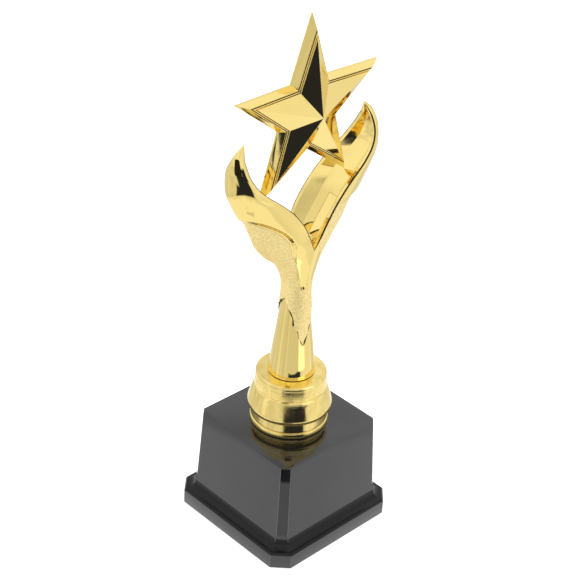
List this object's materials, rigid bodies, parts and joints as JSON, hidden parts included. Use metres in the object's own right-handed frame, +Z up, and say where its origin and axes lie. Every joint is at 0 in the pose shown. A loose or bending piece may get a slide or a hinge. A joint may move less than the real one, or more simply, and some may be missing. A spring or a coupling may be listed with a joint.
{
  "type": "star trophy",
  "caption": "Gold star held between two curved petals on a turned riser and stem, standing on a square black plinth with cut corners.",
  "frame": {"origin": "centre of the plinth's underside, on the felt", "axes": "+Z up along the stem, the star's faceted front faces -Y, +X across the star"},
  "size_m": [0.0876, 0.0762, 0.2559],
  "materials": {
    "polished_gold": "mirror-bright gold plating on moulded plastic",
    "frosted_gold": "fine-grained frosted gold plating on moulded plastic",
    "black_plastic": "glossy black moulding",
    "zinc_steel": "zinc plated",
    "iron": "as cast",
    "board": "flat sheet",
    "felt": "felt"
  },
  "bodies": {
    "root": {"plinth_shell": "black_plastic", "felt_pad": "felt", "base_cover": "board", "ballast_block": "iron", "clamp_nut": "zinc_steel", "clamp_washer": "zinc_steel", "tie_rod": "zinc_steel", "riser_collar": "polished_gold", "stem_nut": "zinc_steel", "stem_sleeve": "polished_gold", "calyx_sheath": "frosted_gold", "petal_left": "polished_gold", "petal_right": "polished_gold", "star_front_shell": "polished_gold", "star_back_shell": "polished_gold"}
  },
  "joints": []
}
